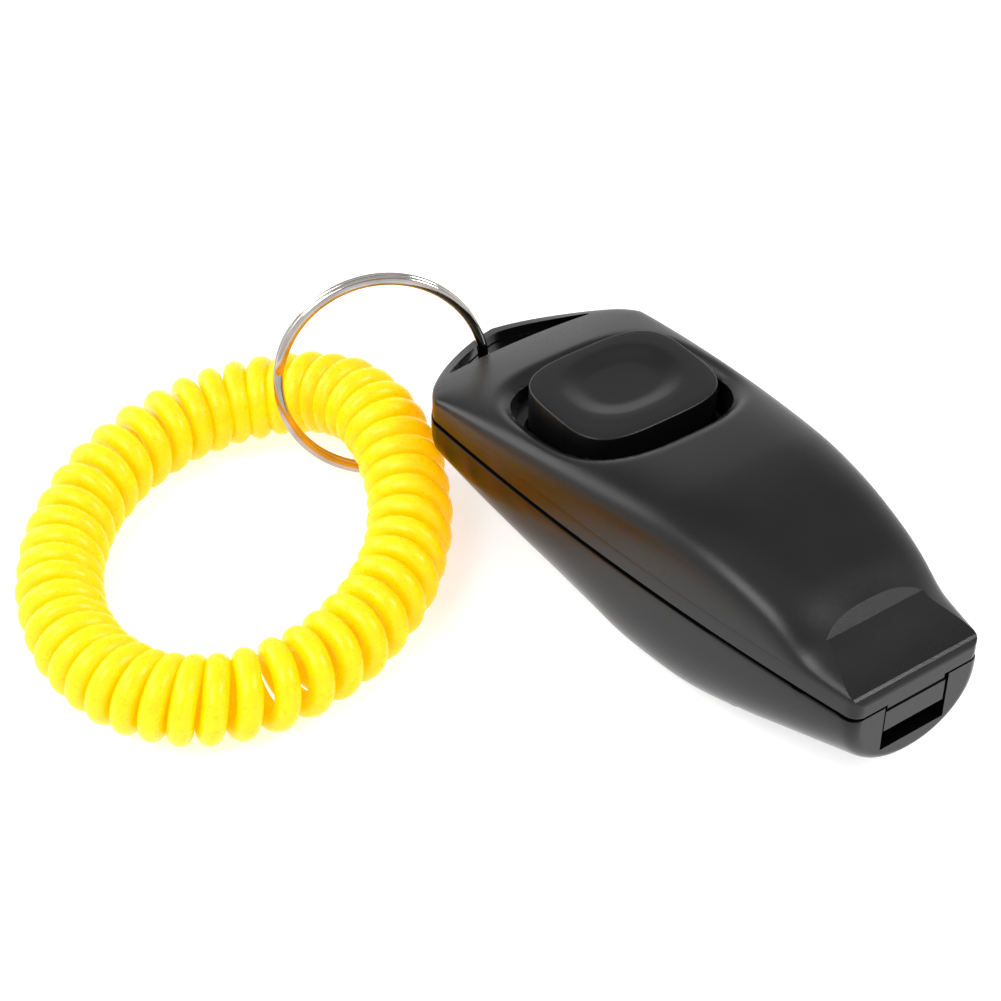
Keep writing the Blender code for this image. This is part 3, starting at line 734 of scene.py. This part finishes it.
def make_upper_shell(material):
    """The crown with its lip facet, the button's well, the strap slot, screw bosses and the insert's key."""
    rings = [crown_ring(x, 0, UPPER_EDGE) for x in stations(0.02, STEP_X) + end_stations()]
    shell = loft("upper_shell_skin", rings, material, smooth=30)
    carve(shell, [lip_facet()])
    inside = [crown_ring(x, WALL, -1.0, count=40) for x in stations(*UPPER_CAVITY, CAVITY_STEP)]
    cavity = loft("upper_cavity", inside)
    surround = oval(BUTTON_X, WELL_SURROUND, WELL_POWER)
    carve(cavity, [prism("well_surround", surround, WELL_FLOOR - WELL_FLOOR_THICKNESS, FAR_ABOVE)])
    outlines = [(z, oval(WELL_CENTRE_X, np.add(WELL_HALF, growth), WELL_POWER)) for z, growth in WELL_PROFILE]
    well = loft("button_well", [[place(x, y, z) for x, y in outline] for z, outline in outlines])
    hole = prism("button_hole", oval(BUTTON_X, np.add(BUTTON_HALF, BUTTON_CLEARANCE), BUTTON_POWER), -1, 6)
    carve(shell, [cavity, well, hole, strap_slot("upper_slot")])
    for name, (x, seat, tip) in HOUSING_SCREWS.items():
        root = through(CROWN, x - SCREW_BOSS) - WALL / 2
        carve(shell, [post(name + "_boss", x, 0, SCREW_BOSS, SCREW_GAP, root)], "UNION")
        carve(shell, [post(name + "_pilot", x, 0, SCREW_HOLE, -1, tip)])
    carve(shell, [box("insert_key", *INSERT_KEY)], "UNION")
    finish_shell(shell, "upper_shell")


def lower_shell_posts():
    posts = [post("plate_post" + str(y), PLATE_POST_X, y, PLATE_POST_RADIUS, *PLATE_POST_HEIGHT)
             for y in (-PLATE_POST_Y, PLATE_POST_Y)]
    for name, (x, seat, tip) in HOUSING_SCREWS.items():
        root = WALL / 2 - min(through(BELLY, x - SCREW_BOSS), PARTING_HEIGHT)
        posts.append(post(name + "_post", x, 0, SCREW_POST, root, -SCREW_GAP))
    return posts


def lower_shell_holes():
    holes = [post("plate_pilot" + str(y), PLATE_POST_X, y, PLATE_PILOT_RADIUS, PLATE_PILOT_BOTTOM, 0)
             for y in (-PLATE_POST_Y, PLATE_POST_Y)]
    for name, (x, seat, tip) in HOUSING_SCREWS.items():
        holes.append(post(name + "_hole", x, 0, SCREW_HOLE, FAR_BELOW, PAST_SEAM))
        holes.append(post(name + "_counterbore", x, 0, COUNTERBORE, FAR_BELOW, seat))
    return holes


def air_path():
    """Cutters of the chamber, its lid's seat, the slot above the labium, the window and the windway."""
    outline = [(FLUE_START, PAST_SEAM), (FLUE_START, LABIUM_Z), (WINDOW_START, LABIUM_Z),
               (WINDOW_START, FAR_BELOW), (INSERT_START, FAR_BELOW), (INSERT_START, WINDWAY_BOTTOM),
               (LENGTH + 1, WINDWAY_BOTTOM), (LENGTH + 1, PAST_SEAM)]
    slope = [(WINDOW_START + x, through(WINDOW_RAMP, x)) for x in np.linspace(0.1, 6.6, 14)]
    recess = [(slope[0][0], FAR_BELOW)] + slope + [(slope[-1][0], FAR_BELOW)]
    return [box("chamber", *CHAMBER), box("lid_pocket", *LID_POCKET),
            side_prism("air_path", outline, WINDWAY_HALF), side_prism("window_recess", recess, HALF_WIDTH)]


def make_lower_shell(material):
    """The belly with its posts, screw holes and air path, and the lower half of the strap slot."""
    rings = [belly_ring(x, 0, LOWER_EDGE) for x in stations(0.02, STEP_X, 0.8) + end_stations()]
    shell = loft("lower_shell_skin", rings, material, smooth=30)
    inside = [belly_ring(x, WALL, 1.0, count=40) for x in stations(*LOWER_CAVITY, CAVITY_STEP)]
    carve(shell, [loft("lower_cavity", inside)])
    carve(shell, [box("chamber_walls", *CHAMBER_WALLS)] + lower_shell_posts(), "UNION")
    carve(shell, lower_shell_holes() + air_path() + [strap_slot("lower_slot")])
    finish_shell(shell, "lower_shell")


# ---------------------------------------------------------------- button
def dish_share(share):
    """Share of the dish's depth, from its rim, where share is 1, to its middle, where it is 0."""
    return smoothstep(*DISH_RIM, share)


def make_button(material):
    """The cap with a tight edge round its top, a shallow dish, a skirt, a flange and the plunger."""
    outline = oval(BUTTON_X, BUTTON_HALF, BUTTON_POWER, BUTTON_POINTS)
    centre = np.array((BUTTON_X + DISH_CENTRE[0], DISH_CENTRE[1]))
    dish = [centre + np.array(p) for p in oval(0.0, DISH_HALF, DISH_POWER, BUTTON_POINTS)]
    rings = [[place(x, y, BUTTON_BOTTOM) for x, y in outline]]
    for angle in range(0, 91, 15):
        turn = math.radians(angle)
        inset = BUTTON_EDGE * (1 - math.cos(turn))
        z = BUTTON_TOP - BUTTON_EDGE * (1 - math.sin(turn))
        row = oval(BUTTON_X, np.subtract(BUTTON_HALF, inset), BUTTON_POWER, BUTTON_POINTS)
        rings.append([place(x, y, z) for x, y in row])
    top = oval(BUTTON_X, np.subtract(BUTTON_HALF, BUTTON_EDGE), BUTTON_POWER, BUTTON_POINTS)
    for t in (0.35, 0.7):
        row = [np.array(a) * (1 - t) + b * t for a, b in zip(top, dish)]
        rings.append([place(x, y, BUTTON_TOP) for x, y in row])
    for k in range(DISH_RINGS):
        share = 1 - k / DISH_RINGS
        drop = DISH_DEPTH * dish_share(share) + DISH_SAG * (1 - share ** 2)
        row = [centre + (p - centre) * share for p in dish]
        rings.append([place(x, y, BUTTON_TOP - drop) for x, y in row])
    cap = loft("button_cap_skin", rings, material, smooth=40)
    hollow = oval(BUTTON_X, np.subtract(BUTTON_HALF, BUTTON_WALL), BUTTON_POWER)
    carve(cap, [prism("button_flange", oval(BUTTON_X, FLANGE_HALF, WELL_POWER), *FLANGE_HEIGHT)], "UNION")
    carve(cap, [prism("button_hollow", hollow, -3, BUTTON_ROOF)])
    carve(cap, [post("button_plunger", PLUNGER_X, 0, PLUNGER_RADIUS, *PLUNGER_HEIGHT)], "UNION")
    soften(cap, 40)
    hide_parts("button_cap")
    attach(cap, "button")


# ---------------------------------------------------------------- split ring
def make_split_ring(material):
    """Two wraps of flat wire, with the step where one passes to the other and two cut ends."""
    normal = Vector(RING_NORMAL).normalized()
    across = normal.cross(Vector((0, 0, 1))).normalized()
    up = normal.cross(across)
    centre = (Vector(BOXES["split_ring"][0]) + Vector(BOXES["split_ring"][1])) / 2 / MM
    radius = RING_OUTER - RING_RADIAL / 2
    pitch = RING_WIRE + RING_WRAP_GAP
    last = 2 * RING_STEPS - 3
    rings = []
    for k in range(last + 1):
        turn = k / RING_STEPS
        level = pitch * (smoothstep(*RING_CROSSING, turn) - 0.5)
        out = across * math.cos(2 * math.pi * turn) + up * math.sin(2 * math.pi * turn)
        taper = RING_END_SHARE + (1 - RING_END_SHARE) * min(min(k, last - k) / 2, 1.0)
        ring = []
        for j in range(RING_CORNERS):
            angle = 2 * math.pi * (j + 0.5) / RING_CORNERS
            a, b = superellipse(RING_RADIAL / 2, RING_WIRE / 2, RING_FULLNESS, angle)
            ring.append((centre + out * (radius + a * taper) + normal * (level + b * taper)) * MM)
        rings.append(ring)
    ring = loft("split_ring_wire", rings, material, smooth=50)
    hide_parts("split_ring")
    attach(ring, "ring")


def finish_cad_nodes(plastic, plate_steel, screw_steel):
    """Materials and softened edges for the CAD nodes that stay."""
    for name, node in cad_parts.items():
        if name == "whistle_insert":
            material = plastic
        elif name == "click_plate":
            material = plate_steel
        elif "screw" in name:
            material = screw_steel
        else:
            continue
        for slot in node.material_slots:
            slot.material = material
        edge = node.modifiers.new("soft_edges", "BEVEL")
        edge.width = SOFT_EDGE * MM
        edge.segments = 2
        edge.limit_method = "ANGLE"


make_camera()
make_floor()
make_studio()
make_coil(yellow_coil("coil_plastic"))
shell_black = moulded_black("shell_abs", (0.0012, 0.0012, 0.0014), 0.32, 0.16, 0.012)
make_upper_shell(shell_black)
make_lower_shell(shell_black)
make_button(moulded_black("button_abs", (0.0014, 0.0014, 0.0016), 0.34, 0.13, 0.008))
make_split_ring(nickel("nickel_plate"))
finish_cad_nodes(moulded_black("insert_abs", (0.004, 0.004, 0.0045), 0.4, 0.16, 0.01),
                 steel("rolled_steel", (0.62, 0.62, 0.64), 0.3, (1, 12, 1)),
                 steel("screw_zinc", (0.55, 0.54, 0.5), 0.34, (2, 2, 8)))
